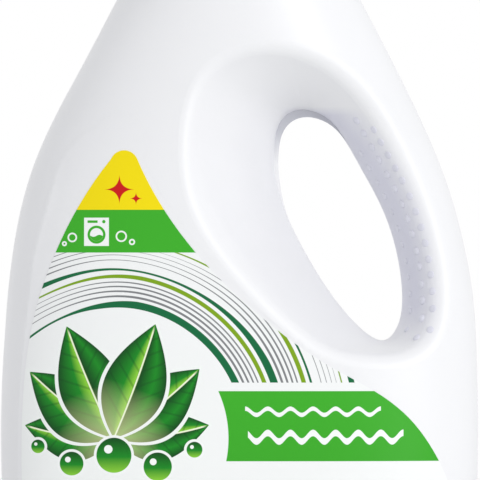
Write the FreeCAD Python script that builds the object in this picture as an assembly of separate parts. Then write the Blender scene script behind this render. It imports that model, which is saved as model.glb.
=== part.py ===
"""Two-litre laundry liquid bottle: a blown bottle with a side handle, its front label, a pouring
spout, a sealing ring and a screw-on dosing cap. +Z is up, the handle is at +X and the label faces
-Y. The origin is the middle of the base, on the surface that the bottle stands on."""

import FreeCAD
import Part
import math
import os

from FreeCAD import Vector

# Body, blown in one piece with its handle
BODY_WIDTH = 170.0
BODY_DEPTH = 86.0
BODY_HEIGHT = 257.0
WALL = 1.1
BASE_CORNER = 9.0
FOOT_WIDTH = 5.0
PUSH_UP = 3.5
PUSH_UP_SLOPE = 6.0

# Body rings: height, then left, right and front-to-back reach from the collar to the full size,
# then squareness, from 2, an ellipse, towards a rounded rectangle
BODY_RINGS = [
    (0.000, 0.928, 0.928, 0.813, 3.00),
    (0.156, 0.985, 0.985, 0.963, 2.90),
    (0.311, 1.000, 1.000, 1.000, 2.80),
    (0.459, 0.969, 0.982, 0.978, 2.70),
    (0.568, 0.912, 0.904, 0.896, 2.60),
    (0.654, 0.819, 0.789, 0.776, 2.50),
    (0.735, 0.661, 0.632, 0.612, 2.40),
    (0.817, 0.460, 0.448, 0.433, 2.30),
    (0.903, 0.249, 0.240, 0.209, 2.15),
    (1.000, 0.000, 0.000, 0.000, 2.00),
]
RING_LEVELS = 16
RING_POINTS = 28
# Share of the half width past which a face is taken to be no shallower
FACE_SHARE = 0.95

# Hand hole: across shares of half the body's width, up shares of its height. Each place has the
# edge of the opening, the edge of the scoop on the faces, and how hollow the slope between is.
HAND_HOLE = [
    ((0.266, 0.749), (0.212, 0.829), 1.5),
    ((0.199, 0.742), (0.002, 0.827), 1.4),
    ((0.157, 0.721), (-0.153, 0.793), 1.3),
    ((0.145, 0.686), (-0.220, 0.728), 1.2),
    ((0.157, 0.648), (-0.212, 0.652), 1.2),
    ((0.199, 0.603), (-0.136, 0.588), 1.2),
    ((0.270, 0.555), (-0.015, 0.534), 1.2),
    ((0.367, 0.502), (0.136, 0.478), 1.3),
    ((0.472, 0.458), (0.317, 0.426), 1.5),
    ((0.556, 0.434), (0.462, 0.411), 1.7),
    ((0.618, 0.431), (0.640, 0.409), 1.9),
    ((0.669, 0.455), (0.785, 0.432), 2.0),
    ((0.681, 0.499), (0.836, 0.485), 2.0),
    ((0.656, 0.555), (0.816, 0.552), 2.0),
    ((0.597, 0.613), (0.753, 0.624), 2.0),
    ((0.509, 0.668), (0.665, 0.691), 2.0),
    ((0.426, 0.716), (0.547, 0.756), 2.0),
    ((0.350, 0.741), (0.392, 0.804), 1.8),
]
HOLE_LEVELS = (0.0, 0.16, 0.33, 0.51, 0.70, 0.88, 1.07)
RIM_RADIUS = 6.0

# Web of pinched plastic across the top of the hand hole
WEB_DEPTH = 3.0
WEB_THICKNESS = 1.4
WEB_ANGLE = -60.0
# Where the web ends, in a share of the body's height
WEB_FOOT_SHARE = 0.668

# Label and the shallow panel that it lies in, in the hand hole's shares, from the top down
LABEL_TIP = (-0.480, 0.692)
LABEL_LEFT = [
    (-0.535, 0.680),
    (-0.679, 0.610),
    (-0.767, 0.551),
    (-0.846, 0.477),
    (-0.884, 0.415),
    (-0.908, 0.312),
    (-0.905, 0.200),
    (-0.883, 0.060),
]
LABEL_RIGHT = [
    (-0.426, 0.680),
    (-0.314, 0.610),
    (-0.182, 0.551),
    (0.107, 0.458),
    (0.389, 0.392),
    (0.564, 0.360),
    (0.701, 0.325),
    (0.808, 0.278),
    (0.882, 0.222),
    (0.902, 0.150),
    (0.883, 0.060),
]
LABEL_CORNER = 9.0
LABEL_THICKNESS = 0.15
PANEL_TIP = (-0.470, 0.738)
PANEL_LEFT = [
    (-0.590, 0.722),
    (-0.753, 0.668),
    (-0.799, 0.616),
    (-0.845, 0.566),
    (-0.874, 0.506),
    (-0.900, 0.430),
    (-0.925, 0.330),
    (-0.925, 0.200),
    (-0.903, 0.050),
]
PANEL_MARGIN = 1.2
PANEL_RECESS = 0.5

# Collar, neck and its thread
COLLAR_RADIUS = 29.6
COLLAR_EDGE = 1.5
NECK_RADIUS = 25.0
NECK_WALL = 2.4
NECK_HEIGHT = 23.0
BEAD_RADIUS = 28.0
BEAD_HEIGHT = 2.0
BEAD_LIFT = 2.4
BEAD_SLOPE = 0.8
THREAD_STARTS = 2
THREAD_LEAD = 12.0
THREAD_TURNS = 0.7
THREAD_ROOT = 2.6
THREAD_CREST = 1.0
THREAD_HEIGHT = 1.5
THREAD_LIFT = 9.5
THREAD_BEGIN = 25.0
THREAD_PLAY = 0.4
THREAD_BITE = 0.3

# Pouring spout, pressed into the neck
PLUG_CLEARANCE = 0.15
PLUG_DEPTH = 18.0
SPOUT_WALL = 1.3
FLANGE_THICKNESS = 1.6
FLANGE_INSET = 0.2
SPOUT_RADIUS = 13.0
SPOUT_SHIFT = -6.0
SPOUT_RISE = 11.0
LIP_ANGLE = 16.0
FLOOR_ANGLE = 14.0
FLOOR_DROP = 11.0
SLOT_ANGLE = 100.0

# Sealing ring between the spout's flange and the cap
SEAL_THICKNESS = 1.0
SEAL_WIDTH = 3.2

# Dosing cap: a threaded skirt under a measuring cup
SKIRT_CLEARANCE = 0.5
SKIRT_WALL = 2.4
SKIRT_GAP = 0.6
SKIRT_EDGE = 1.2
CUP_RADIUS = 24.2
CUP_HEIGHT = 17.0
CUP_TAPER = 0.8
CAP_WALL = 1.4
CAP_EDGE = 3.0
CAP_STEP = 3.0
FLUTES = 36
FLUTE_RADIUS = 1.3
FLUTE_DEPTH = 0.5
FLUTE_MARGIN = 3.0

NECK_TOP = BODY_HEIGHT + NECK_HEIGHT
BORE_RADIUS = NECK_RADIUS - NECK_WALL
SEAL_BASE = NECK_TOP + FLANGE_THICKNESS
LEDGE_HEIGHT = SEAL_BASE + SEAL_THICKNESS
SKIRT_BORE = NECK_RADIUS + THREAD_HEIGHT + SKIRT_CLEARANCE
SKIRT_RADIUS = SKIRT_BORE + SKIRT_WALL
FAR = BODY_WIDTH
# How far a cutting shape runs past what it cuts
OVERCUT = 1.0


def between(share, start, end):
    return start + (end - start) * share


def spline_ring(points):
    """Closed smooth wire with one span for each point, so that rings of one loft match."""
    curve = Part.BSplineCurve()
    spans = [i / len(points) for i in range(len(points) + 1)]
    curve.interpolate(Points=points, Parameters=spans, PeriodicFlag=True)
    return Part.Wire([curve.toShape()])


def revolved(profile):
    """Solid turned about Z from a closed profile of (radius, height) points."""
    corners = [Vector(r, 0, z) for r, z in profile]
    face = Part.Face(Part.makePolygon(corners + corners[:1]))
    return face.revolve(Vector(0, 0, 0), Vector(0, 0, 1), 360)


def tube(outer, inner, base, height):
    top = Vector(0, 0, base)
    return Part.makeCylinder(outer, height, top).cut(Part.makeCylinder(inner, height, top))


def edges_at(shape, z, tolerance=0.01):
    """Edges that lie in the level plane at z."""
    return [e for e in shape.Edges if abs(e.BoundBox.ZMin - z) < tolerance
            and abs(e.BoundBox.ZMax - z) < tolerance]


def ring_slope(column, i):
    """Slope of one column of the rings at ring i, level where the column turns back."""
    if i in (0, len(BODY_RINGS) - 1):
        i = min(max(i, 1), len(BODY_RINGS) - 2)
    low, mid, high = BODY_RINGS[i - 1:i + 2]
    before = (mid[column] - low[column]) / (mid[0] - low[0])
    after = (high[column] - mid[column]) / (high[0] - mid[0])
    return 2 * before * after / (before + after) if before * after > 0 else 0.0


def body_size(height, inset=0.0):
    """Left, right and front-to-back half sizes of the body at a height, and its squareness."""
    share = min(max(height / BODY_HEIGHT, 0.0), 1.0)
    i = max(k for k in range(len(BODY_RINGS) - 1) if BODY_RINGS[k][0] <= share)
    low, high = BODY_RINGS[i], BODY_RINGS[i + 1]
    span = high[0] - low[0]
    t = (share - low[0]) / span
    size = []
    for column in range(1, 5):
        value = (
            low[column] * (1 + 2 * t) * (1 - t) ** 2
            + high[column] * (3 - 2 * t) * t ** 2
            + ring_slope(column, i) * span * t * (1 - t) ** 2
            - ring_slope(column, i + 1) * span * (1 - t) * t ** 2
        )
        size.append(value)
    left = between(size[0], COLLAR_RADIUS, BODY_WIDTH / 2) - inset
    right = between(size[1], COLLAR_RADIUS, BODY_WIDTH / 2) - inset
    deep = between(size[2], COLLAR_RADIUS, BODY_DEPTH / 2) - inset
    return left, right, deep, size[3]


def body_ring(height, inset, z):
    """Outline of the body at a height, drawn in by inset and laid at z."""
    left, right, deep, square = body_size(height, inset)
    points = []
    for k in range(RING_POINTS):
        angle = 2 * math.pi * k / RING_POINTS
        across, along = math.cos(angle), math.sin(angle)
        reach = (abs(across) ** square + abs(along) ** square) ** (-1 / square)
        side = right if across > 0 else left
        points.append(Vector(side * reach * across, deep * reach * along, z))
    return spline_ring(points)


def body_form(inset=0.0, trim=0.0):
    """The body without its hand hole, drawn in by inset, with trim off its base and top."""
    rings = []
    for level in range(RING_LEVELS + 1):
        height = BODY_HEIGHT * level / RING_LEVELS
        z = min(max(height, trim), BODY_HEIGHT - trim)
        rings.append(body_ring(height, inset, z))
    return Part.makeLoft(rings, True, False)


def face_depth(x, z):
    """How far the front face is from the middle plane at a place seen from the front."""
    left, right, deep, square = body_size(z)
    side = right if x > 0 else left
    return deep * (1 - min(abs(x) / side, FACE_SHARE) ** square) ** (1 / square)


def placed(share):
    """(x, z) of a place given in shares of half the body's width and of its height."""
    return share[0] * BODY_WIDTH / 2, share[1] * BODY_HEIGHT


def grown(points, distance, closed=True):
    """The outline moved to the right of its own direction of travel."""
    moved = []
    last = len(points) - 1
    for i, (x, z) in enumerate(points):
        before = points[i - 1] if closed or i > 0 else points[i]
        after = points[(i + 1) % len(points)] if closed or i < last else points[i]
        dx, dz = after[0] - before[0], after[1] - before[1]
        length = math.hypot(dx, dz)
        moved.append((x + distance * dz / length, z - distance * dx / length))
    return moved


def hand_hole(growth=0.0):
    """The space of the hand hole and its two scoops, narrowest in the middle plane."""
    rim = [placed(place[1]) for place in HAND_HOLE]
    depths = [face_depth(x, z) for x, z in rim]
    inner = grown([placed(place[0]) for place in HAND_HOLE], growth)
    outer = grown(rim, growth)
    levels = [-level for level in reversed(HOLE_LEVELS[1:])] + list(HOLE_LEVELS)
    sections = []
    for level in levels:
        y = level * BODY_DEPTH / 2
        points = []
        for (x0, z0), (x1, z1), depth, place in zip(inner, outer, depths, HAND_HOLE):
            out = abs(y) / depth
            hollow = place[2]
            flare = out ** hollow if out < 1 else 1 + hollow * (out - 1)
            points.append(Vector(between(flare, x0, x1), y, between(flare, z0, z1)))
        sections.append(spline_ring(points))
    return Part.makeLoft(sections, True, False)


def rim_edges(shape):
    """The two edges where the scoops meet the faces, each as high as its scoop."""
    heights = [placed(place[1])[1] for place in HAND_HOLE]
    low, high = min(heights), max(heights)
    return [e for e in shape.Edges if e.BoundBox.YMin * e.BoundBox.YMax > 0
            and abs(e.BoundBox.ZMin - low) < RIM_RADIUS
            and abs(e.BoundBox.ZMax - high) < RIM_RADIUS]


def push_up(growth=0.0):
    """The raised middle of the base, with sloping sides."""
    foot = BASE_CORNER + FOOT_WIDTH - growth
    low = body_ring(0, foot, -OVERCUT)
    mouth = body_ring(0, foot, growth)
    high = body_ring(0, foot + PUSH_UP_SLOPE, PUSH_UP + growth)
    return Part.makeLoft([low, mouth, high], True, True)


def blown_form(inset=0.0):
    """Body with its scoops, rounded rims and raised base; inset gives the form of its inside."""
    panel = panel_prism().cut(body_form(inset + PANEL_RECESS))
    form = body_form(inset, inset).cut(hand_hole(inset)).cut(panel)
    form = form.makeFillet(BASE_CORNER - inset, edges_at(form, inset))
    form = form.makeFillet(RIM_RADIUS - inset, rim_edges(form))
    return form.cut(push_up(inset))


def front_curve(points):
    """Smooth open curve in the middle plane through (x, z) points."""
    curve = Part.BSplineCurve()
    curve.interpolate([Vector(x, 0, z) for x, z in points])
    return curve.toShape()


def front_prism(left, tip, right, corner):
    """Block in front of the middle plane, with a round tip, curved sides and a straight foot."""
    crown = Part.Arc(*(Vector(x, 0, z) for x, z in (left[0], tip, right[0]))).toShape()
    foot = Part.makeLine(Vector(right[-1][0], 0, right[-1][1]), Vector(left[-1][0], 0, left[-1][1]))
    wire = Part.Wire([crown, front_curve(right), foot, front_curve(left[::-1])])
    block = Part.Face(wire).extrude(Vector(0, -FAR, 0))
    lowest = min(left[-1][1], right[-1][1])
    upright = [e for e in block.Edges if abs(e.BoundBox.YLength - FAR) < OVERCUT
               and e.BoundBox.ZMax < lowest + OVERCUT]
    return block.makeFillet(corner, upright)


def label_prism():
    left = [placed(p) for p in LABEL_LEFT]
    right = [placed(p) for p in LABEL_RIGHT]
    return front_prism(left, placed(LABEL_TIP), right, LABEL_CORNER)


def panel_prism():
    left = [placed(p) for p in PANEL_LEFT]
    right = grown([placed(p) for p in LABEL_RIGHT], -PANEL_MARGIN, closed=False)
    foot = left[-1][1]
    right[-1] = (right[-1][0], foot)
    return front_prism(left, placed(PANEL_TIP), right, LABEL_CORNER + PANEL_MARGIN)


def web():
    """Flat web along the top of the hand hole, left where the mould pinched the plastic shut."""
    edge = [placed(place[0]) for place in HAND_HOLE]
    slant = math.radians(WEB_ANGLE)
    shift = (WEB_DEPTH * math.cos(slant), WEB_DEPTH * math.sin(slant))
    rings = (grown(edge, WALL / 2), [(x + shift[0], z + shift[1]) for x, z in edge])
    blocks = []
    for ring in rings:
        wire = spline_ring([Vector(x, -WEB_THICKNESS / 2, z) for x, z in ring])
        blocks.append(Part.Face(wire).extrude(Vector(0, WEB_THICKNESS, 0)))
    above = Part.makeBox(FAR, FAR, FAR, Vector(-FAR / 2, -FAR / 2, WEB_FOOT_SHARE * BODY_HEIGHT))
    return blocks[0].cut(blocks[1]).common(above)


def thread(root, crest, base, start):
    """One start of a thread: a helical ridge from its root radius to its crest radius."""
    rise = THREAD_LEAD * THREAD_TURNS
    helix = Part.makeHelix(THREAD_LEAD, rise, root)
    sunk = THREAD_BITE / THREAD_HEIGHT
    buried = between(1 + sunk, crest, root)
    half_crest = THREAD_CREST / 2
    half_buried = between(1 + sunk, half_crest, THREAD_ROOT / 2)
    corners = [
        Vector(buried, 0, -half_buried),
        Vector(crest, 0, -half_crest),
        Vector(crest, 0, half_crest),
        Vector(buried, 0, half_buried),
    ]
    sweep = Part.BRepOffsetAPI.MakePipeShell(Part.Wire(helix.Edges))
    sweep.setFrenetMode(True)
    sweep.add(Part.makePolygon(corners + corners[:1]))
    sweep.build()
    sweep.makeSolid()
    ridge = sweep.shape()
    ridge.rotate(Vector(0, 0, 0), Vector(0, 0, 1), start)
    ridge.translate(Vector(0, 0, base))
    return ridge


def threads(root, crest, base):
    turn = 360 / THREAD_STARTS
    return [thread(root, crest, base, THREAD_BEGIN + k * turn) for k in range(THREAD_STARTS)]


def neck():
    """Collar top, transfer bead, neck and thread, as one turned form with its ridges."""
    bead = BODY_HEIGHT + BEAD_LIFT
    profile = [
        (0, BODY_HEIGHT - WALL),
        (NECK_RADIUS, BODY_HEIGHT - WALL),
        (NECK_RADIUS, bead - BEAD_SLOPE),
        (BEAD_RADIUS, bead),
        (BEAD_RADIUS, bead + BEAD_HEIGHT - BEAD_SLOPE),
        (NECK_RADIUS, bead + BEAD_HEIGHT),
        (NECK_RADIUS, NECK_TOP),
        (0, NECK_TOP),
    ]
    ridges = threads(NECK_RADIUS, NECK_RADIUS + THREAD_HEIGHT, BODY_HEIGHT + THREAD_LIFT)
    return revolved(profile).fuse(ridges)


def make_bottle():
    outside = blown_form()
    top_edge = [e for e in edges_at(outside, BODY_HEIGHT) if e.Length > COLLAR_RADIUS]
    outside = outside.makeFillet(COLLAR_EDGE, top_edge)
    inside = blown_form(WALL)
    shell = Part.Solid(Part.Compound([outside.Shells[0], inside.Shells[0].reversed()]))
    shell = shell.fuse([web(), neck()])
    foot = BODY_HEIGHT - WALL - OVERCUT
    bore = Part.makeCylinder(BORE_RADIUS, NECK_TOP + OVERCUT - foot, Vector(0, 0, foot))
    return shell.cut(bore).removeSplitter()


def make_label():
    """Film on the floor of the panel."""
    outer = body_form(PANEL_RECESS - LABEL_THICKNESS)
    return label_prism().common(outer).cut(body_form(PANEL_RECESS))


def tilted(solid, angle, centre):
    solid.rotate(centre, Vector(0, 1, 0), angle)
    return solid


def make_spout():
    """Plug, flange, sloping floor that drains towards the handle, and the slotted pouring tube."""
    plug_radius = BORE_RADIUS - PLUG_CLEARANCE
    plug = tube(plug_radius, plug_radius - SPOUT_WALL, NECK_TOP - PLUG_DEPTH, PLUG_DEPTH)
    flange = tube(NECK_RADIUS - FLANGE_INSET, plug_radius - SPOUT_WALL, NECK_TOP, FLANGE_THICKNESS)
    centre = Vector(SPOUT_SHIFT, 0, NECK_TOP - FLOOR_DROP)
    slab = Part.makeBox(FAR, FAR, SPOUT_WALL, centre - Vector(FAR / 2, FAR / 2, 0))
    slab = tilted(slab, FLOOR_ANGLE, centre)
    floor = Part.makeCylinder(plug_radius - SPOUT_WALL / 2, FAR, Vector(0, 0, BODY_HEIGHT)).common(slab)
    height = FLOOR_DROP + SPOUT_RISE
    base = Vector(SPOUT_SHIFT, 0, NECK_TOP - FLOOR_DROP)
    pipe = Part.makeCylinder(SPOUT_RADIUS, 2 * height, base - Vector(0, 0, SPOUT_RADIUS))
    above_floor = Part.makeBox(FAR, FAR, FAR, centre - Vector(FAR / 2, FAR / 2, 0))
    above_floor = tilted(above_floor, FLOOR_ANGLE, centre)
    lip = Vector(SPOUT_SHIFT, 0, NECK_TOP + SPOUT_RISE - SPOUT_RADIUS * math.tan(math.radians(LIP_ANGLE)))
    above_lip = Part.makeBox(FAR, FAR, FAR, lip - Vector(FAR / 2, FAR / 2, 0))
    above_lip = tilted(above_lip, LIP_ANGLE, lip)
    pipe = pipe.common(above_floor).cut(above_lip)
    channel = Part.makeCylinder(SPOUT_RADIUS - SPOUT_WALL, FAR, Vector(SPOUT_SHIFT, 0, BODY_HEIGHT))
    slot = Part.makeCylinder(
        SPOUT_RADIUS + SPOUT_WALL, FAR, Vector(SPOUT_SHIFT, 0, BODY_HEIGHT), Vector(0, 0, 1), SLOT_ANGLE)
    slot.rotate(Vector(SPOUT_SHIFT, 0, 0), Vector(0, 0, 1), -SLOT_ANGLE / 2)
    pipe = pipe.cut(slot)
    return plug.fuse([flange, floor, pipe]).cut(channel).removeSplitter()


def make_seal():
    outer = NECK_RADIUS - FLANGE_INSET
    return tube(outer, outer - SEAL_WIDTH, SEAL_BASE, SEAL_THICKNESS)


def make_cap():
    """Skirt, ledge over the sealing ring, cup above it, grip flutes and the inner thread."""
    skirt_base = BODY_HEIGHT + BEAD_LIFT + BEAD_HEIGHT + SKIRT_GAP
    step = LEDGE_HEIGHT + CAP_WALL
    top = step + CAP_STEP + CUP_HEIGHT
    outside = revolved([
        (0, skirt_base),
        (SKIRT_RADIUS, skirt_base),
        (SKIRT_RADIUS, step),
        (CUP_RADIUS, step + CAP_STEP),
        (CUP_RADIUS - CUP_TAPER, top),
        (0, top),
    ])
    outside = outside.makeFillet(CAP_EDGE, edges_at(outside, top))
    outside = outside.makeFillet(SKIRT_EDGE, edges_at(outside, step))
    inside = revolved([
        (0, skirt_base - OVERCUT),
        (SKIRT_BORE, skirt_base - OVERCUT),
        (SKIRT_BORE, LEDGE_HEIGHT),
        (CUP_RADIUS - CAP_WALL, LEDGE_HEIGHT),
        (CUP_RADIUS - CUP_TAPER - CAP_WALL, top - CAP_WALL),
        (0, top - CAP_WALL),
    ])
    inside = inside.makeFillet(CAP_EDGE - CAP_WALL, edges_at(inside, top - CAP_WALL))
    cap = outside.cut(inside)
    flutes = []
    reach = SKIRT_RADIUS + FLUTE_RADIUS - FLUTE_DEPTH
    height = step - FLUTE_MARGIN - skirt_base + OVERCUT
    for k in range(FLUTES):
        angle = 2 * math.pi * k / FLUTES
        foot = Vector(reach * math.cos(angle), reach * math.sin(angle), skirt_base - OVERCUT)
        flutes.append(Part.makeCylinder(FLUTE_RADIUS, height, foot))
    cap = cap.cut(flutes)
    flank = (THREAD_ROOT + THREAD_CREST) / 2
    low = BODY_HEIGHT + THREAD_LIFT - flank - THREAD_PLAY
    crest = NECK_RADIUS + SKIRT_CLEARANCE
    return cap.fuse(threads(SKIRT_BORE, crest, low)).removeSplitter()


def main():
    os.makedirs("parts", exist_ok=True)
    pieces = {
        "bottle": make_bottle,
        "front_label": make_label,
        "pour_spout": make_spout,
        "seal_ring": make_seal,
        "dosing_cap": make_cap,
    }
    for name, make in pieces.items():
        shape = make()
        print(name, shape.ShapeType, len(shape.Solids), shape.isValid(), round(shape.Volume / 1000, 2))
        shape.exportStep(f"parts/{name}.step")


main()
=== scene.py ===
import math

import bmesh
import bpy
import numpy as np
from bpy.props import FloatProperty, FloatVectorProperty, IntProperty, PointerProperty
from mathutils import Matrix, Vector
from mathutils.bvhtree import BVHTree


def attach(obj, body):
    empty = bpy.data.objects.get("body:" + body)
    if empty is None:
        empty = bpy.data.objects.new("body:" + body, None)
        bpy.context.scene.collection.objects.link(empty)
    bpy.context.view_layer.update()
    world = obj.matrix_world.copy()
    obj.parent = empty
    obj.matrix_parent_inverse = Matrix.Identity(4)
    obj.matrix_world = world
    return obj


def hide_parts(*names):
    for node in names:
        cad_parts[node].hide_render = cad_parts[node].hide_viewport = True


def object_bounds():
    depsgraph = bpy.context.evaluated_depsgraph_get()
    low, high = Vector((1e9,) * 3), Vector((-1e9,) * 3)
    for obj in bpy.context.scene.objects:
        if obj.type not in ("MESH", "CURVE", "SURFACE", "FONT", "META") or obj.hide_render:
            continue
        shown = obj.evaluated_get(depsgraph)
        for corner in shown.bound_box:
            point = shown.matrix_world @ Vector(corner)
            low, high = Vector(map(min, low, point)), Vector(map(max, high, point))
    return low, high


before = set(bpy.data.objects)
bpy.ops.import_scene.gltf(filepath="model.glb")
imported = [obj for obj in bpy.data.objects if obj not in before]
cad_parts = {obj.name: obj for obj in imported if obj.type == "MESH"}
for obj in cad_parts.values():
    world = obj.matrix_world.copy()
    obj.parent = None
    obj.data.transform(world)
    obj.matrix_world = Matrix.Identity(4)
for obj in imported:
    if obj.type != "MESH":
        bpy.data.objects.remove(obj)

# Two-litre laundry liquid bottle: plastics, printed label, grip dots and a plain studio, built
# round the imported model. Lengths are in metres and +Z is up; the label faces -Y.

bl_info = {
    "name": "Laundry bottle",
    "version": (1, 0, 0),
    "blender": (4, 5, 0),
    "location": "3D View > Sidebar > Laundry bottle",
    "description": "Finishes, label, grip dots and studio of a two-litre laundry bottle",
    "category": "Object",
}

CAD_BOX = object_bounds()
MM = 0.001

# Half the body's width and its height, which the places below are shares of
HALF_WIDTH = 85.0 * MM
BODY_HEIGHT = 257.0 * MM


def rgb(red, green, blue):
    """Linear colour of an sRGB one given from 0 to 255."""
    def linear(value):
        value /= 255
        return value / 12.92 if value <= 0.04045 else ((value + 0.055) / 1.055) ** 2.4
    return linear(red), linear(green), linear(blue)


def colour_property(name, description, default):
    return FloatVectorProperty(
        name=name, description=description, subtype="COLOR", size=3, min=0, max=1, default=default)


def length_property(name, description, default):
    return FloatProperty(
        name=name, description=description, default=default, min=0, unit="LENGTH", subtype="DISTANCE")


class PlasticSettings(bpy.types.PropertyGroup):
    bottle: colour_property("Bottle", "Colour of the blown bottle", rgb(243, 243, 244))
    # The grip's colour is painted shade: the grip beside the hand hole is greyed as if in shadow
    grip: colour_property("Grip", "Colour of the frosted grip", rgb(220, 220, 231))
    # The web's colour is painted shadow: the shade under the hand hole's top lip
    web: colour_property("Web", "Colour of the pinched web of the hand hole", rgb(200, 201, 208))
    # The dots' colour is painted shade: a lighter grey of the grip's painted shade
    dots: colour_property("Dots", "Colour of the grip dots", rgb(226, 226, 236))
    cap: colour_property("Cap", "Colour of the dosing cap", rgb(38, 150, 52))
    spout: colour_property("Spout", "Colour of the pouring spout", rgb(238, 241, 243))
    seal: colour_property("Seal", "Colour of the sealing ring", rgb(226, 226, 220))


class LabelSettings(bpy.types.PropertyGroup):
    tip: colour_property("Tip", "Yellow of the label's tip", rgb(249, 226, 2))
    band: colour_property("Band", "Green of the band and the banner", rgb(62, 176, 40))
    deep: colour_property("Deep green", "Darkest green of the leaves", rgb(6, 70, 22))
    leaf: colour_property("Leaf green", "Green of the leaves", rgb(24, 138, 34))
    bright: colour_property("Bright green", "Light side of the leaves", rgb(140, 208, 60))
    teal: colour_property("Teal", "Broad stripe of each ripple", rgb(14, 106, 62))
    olive: colour_property("Olive", "Last stripe of each ripple", rgb(128, 166, 26))
    grey: colour_property("Grey", "Fine lines of each ripple", rgb(128, 130, 132))
    mark: colour_property("Mark", "Red of the spark on the tip", rgb(206, 20, 18))


class GripSettings(bpy.types.PropertyGroup):
    pitch: length_property("Pitch", "Distance from dot to dot along a column", 6.05 * MM)
    radius: length_property("Radius", "Radius of a dot", 1.45 * MM)
    rise: length_property("Rise", "Height of a dot above the grip", 0.45 * MM)
    sides: IntProperty(name="Sides", description="Facets round a dot", default=20, min=8)


class PanelSettings(bpy.types.PropertyGroup):
    recess: length_property("Recess", "Depth of the label panel in the bottle's wall", 0.5 * MM)
    film: length_property("Film", "Thickness of the label", 0.15 * MM)
    crease: length_property("Crease", "Softness of the panel's outer side", 2.0 * MM)
    lean: FloatProperty(
        name="Lean", description="Sideways slope of the panel at its crease", default=0.15, min=0)
    lean_width: length_property("Lean width", "Width over which that turn dies away", 16.0 * MM)
    run_out: length_property("Run-out", "Softness of the panel's side by the handle", 14.0 * MM)
    crown: length_property("Crown", "Height at which the crease has died away", 187.0 * MM)
    fade: length_property("Fade", "Height over which the crease dies away", 26.0 * MM)


class WebSettings(bpy.types.PropertyGroup):
    thickness: length_property("Thickness", "Thickness of the pinched web", 1.4 * MM)
    foot: length_property("Foot", "Height of the web's lower end", 171.68 * MM)
    width: length_property("Width", "Width of the web at its lower end", 1.31 * MM)
    run_out: length_property("Run-out", "Length over which the web dies away", 20.0 * MM)


class StudioSettings(bpy.types.PropertyGroup):
    distance: length_property("Distance", "From the camera to the bottle", 5.0)
    view_width: length_property("View width", "Width seen at the bottle", 171.07 * MM)
    view_centre: length_property("View centre", "Height of the middle of the view", 146.1 * MM)
    view_shift: length_property("View shift", "Middle of the view towards the handle", 0.18 * MM)
    sky: FloatProperty(name="Sky", description="Strength of the even light", default=0.75, min=0)
    key: FloatProperty(name="Key", description="Power of the large soft lamp", default=14.0, min=0)


# Softness of a printed edge, in millimetres
PRINT_EDGE = 0.12


class Value:
    """A number or colour in a material. Operators on it add Math nodes."""

    def __init__(self, finish, socket):
        self.finish = finish
        self.socket = socket

    def math(self, operation, *others, clamp=False):
        settings = {"operation": operation, "use_clamp": clamp}
        return self.finish.node("Math", settings, dict(enumerate((self, *others))))

    def __add__(self, other):
        return self.math("ADD", other)

    def __sub__(self, other):
        return self.math("SUBTRACT", other)

    def __rsub__(self, other):
        return (self * -1) + other

    def __mul__(self, other):
        return self.math("MULTIPLY", other)

    def __truediv__(self, other):
        return self.math("DIVIDE", other)

    def __rtruediv__(self, other):
        return self.math("POWER", -1) * other

    def __pow__(self, other):
        return self.math("POWER", other)

    def __abs__(self):
        return self.math("ABSOLUTE")

    __radd__ = __add__
    __rmul__ = __mul__

    def least(self, other):
        return self.math("MINIMUM", other)

    def most(self, other):
        return self.math("MAXIMUM", other)

    def sine(self):
        return self.math("SINE")

    def root(self):
        return self.math("SQRT")

    def remainder(self, other):
        return self.math("FLOORED_MODULO", other)

    def above(self, edge, soft=0.0):
        """1 where this is above the edge, 0 below it, with a soft change."""
        soft = soft or PRINT_EDGE
        return ((self - edge) / soft + 0.5).math("ADD", 0, clamp=True)

    def below(self, edge, soft=0.0):
        return 1 - self.above(edge, soft)


class Finish:
    """A material made round one Principled shader."""

    def __init__(self, name, **constants):
        self.material = bpy.data.materials.new(name)
        self.material.use_nodes = True
        self.tree = self.material.node_tree
        self.shader = self.tree.nodes["Principled BSDF"]
        for name, value in constants.items():
            socket = name.replace("_", " ").title().replace("Ior", "IOR")
            self.shader.inputs[socket].default_value = value

    def node(self, kind, settings, sockets, output=0):
        """Adds a node: its settings are set first, then the values or links of its sockets."""
        made = self.tree.nodes.new("ShaderNode" + kind)
        for name, value in settings.items():
            if name == "stops":
                self.set_stops(made.color_ramp, value)
            else:
                setattr(made, name, value)
        for key, value in sockets.items():
            if isinstance(value, Value):
                self.tree.links.new(value.socket, made.inputs[key])
            else:
                made.inputs[key].default_value = value
        return Value(self, made.outputs[output])

    @staticmethod
    def set_stops(ramp, stops):
        while len(ramp.elements) < len(stops):
            ramp.elements.new(1)
        for element, (place, colour) in zip(ramp.elements, stops):
            element.position = place
            element.color = (*colour, 1)

    def place(self):
        """Where a point of the object is, as three values in metres."""
        spot = self.node("TexCoord", {}, {}, "Object")
        parts = [self.node("SeparateXYZ", {}, {0: spot}, k) for k in range(3)]
        return spot, parts

    def constant(self, value):
        made = self.tree.nodes.new("ShaderNodeRGB")
        made.outputs[0].default_value = (*value, 1)
        return Value(self, made.outputs[0])

    def over(self, base, paint, mask):
        """The paint laid over the base where the mask is 1."""
        base, paint = (self.constant(c) if isinstance(c, (tuple, list)) else c for c in (base, paint))
        return self.node("Mix", {"data_type": "RGBA"}, {0: mask, 6: base, 7: paint}, 2)

    def mottled(self, base, darkest, pattern, soft=0.5):
        """A colour that turns darker, to the given share of itself, where a pattern is high."""
        dark = tuple(c * darkest for c in base)
        return self.over(tuple(base), dark, pattern.above(0.5, soft))

    def noise(self, spot, scale, detail=2.0):
        return self.node("TexNoise", {}, {"Vector": spot, "Scale": scale, "Detail": detail})

    def feed(self, socket, value):
        self.tree.links.new(value.socket, self.shader.inputs[socket])

    def bump(self, height, distance, strength=1.0):
        sockets = {"Height": height, "Distance": distance, "Strength": strength}
        self.feed("Normal", self.node("Bump", {}, sockets))
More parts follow.
